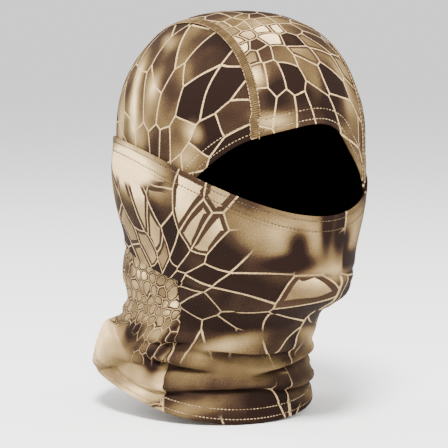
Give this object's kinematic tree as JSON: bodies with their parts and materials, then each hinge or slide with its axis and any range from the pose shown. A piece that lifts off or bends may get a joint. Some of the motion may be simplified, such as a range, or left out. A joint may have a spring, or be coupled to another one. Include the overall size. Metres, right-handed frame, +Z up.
{
  "type": "balaclava face mask",
  "caption": "Stretch-knit camouflage balaclava: three-panel hood with an eye opening, an outer lower-face mask that pulls down off the nose, and a loose neck tube.",
  "frame": {"origin": "the top of the wearer's head, on the inner face of the crown lining", "axes": "+Z up along the wearer, -Y the way the face looks, +X the wearer's left"},
  "size_m": [0.1766, 0.2399, 0.2982],
  "materials": {
    "crown_print_cloth": "knit polyester with a printed tan, brown and cream scale-like camouflage, soft sheen",
    "hood_print_cloth": "knit polyester with a printed dark brown, tan and cream scale-like camouflage, soft sheen",
    "mask_print_cloth": "knit polyester with a printed tan, brown and cream scale-like camouflage, soft sheen",
    "nape_print_cloth": "knit polyester with a printed pale honeycomb camouflage, soft sheen",
    "black_lining": "matt black knit",
    "flatlock_thread": "khaki overlock thread, laid in a ladder",
    "cover_stitch_thread": "cream and tan sewing thread",
    "seam_allowance": "overlocked raw edge of the printed knit"
  },
  "bodies": {
    "hood": {"crown_centre_panel": "crown_print_cloth", "hood_side_panel_right": "hood_print_cloth", "hood_side_panel_left": "hood_print_cloth", "hood_lining_centre": "black_lining", "hood_lining_right": "black_lining", "hood_lining_left": "black_lining", "crown_flatlock_seam_right": "flatlock_thread", "crown_flatlock_seam_left": "flatlock_thread", "brow_hem": "hood_print_cloth", "brow_cover_stitch_lower": "cover_stitch_thread", "brow_cover_stitch_upper": "cover_stitch_thread", "mask_band_panel": "mask_print_cloth", "mask_band_hem": "mask_print_cloth", "mask_band_cover_stitch_upper": "cover_stitch_thread", "mask_band_cover_stitch_lower": "cover_stitch_thread", "front_neck_panel": "mask_print_cloth", "back_neck_panel": "nape_print_cloth", "neck_hem": "nape_print_cloth", "neck_cover_stitch_lower": "cover_stitch_thread", "neck_cover_stitch_upper": "cover_stitch_thread", "neck_seam_right": "seam_allowance", "neck_seam_left": "seam_allowance", "nape_seam": "seam_allowance"},
    "face_mask": {"mask_front_panel": "mask_print_cloth", "mask_front_lining": "black_lining", "mask_front_hem": "mask_print_cloth", "mask_front_cover_stitch_upper": "cover_stitch_thread", "mask_front_cover_stitch_lower": "cover_stitch_thread"}
  },
  "joints": [
    {"name": "mask_pull_down", "type": "slide", "parent": "hood", "child": "face_mask", "axis": [0, 0, -1], "range_m": [0, 0.062]}
  ]
}
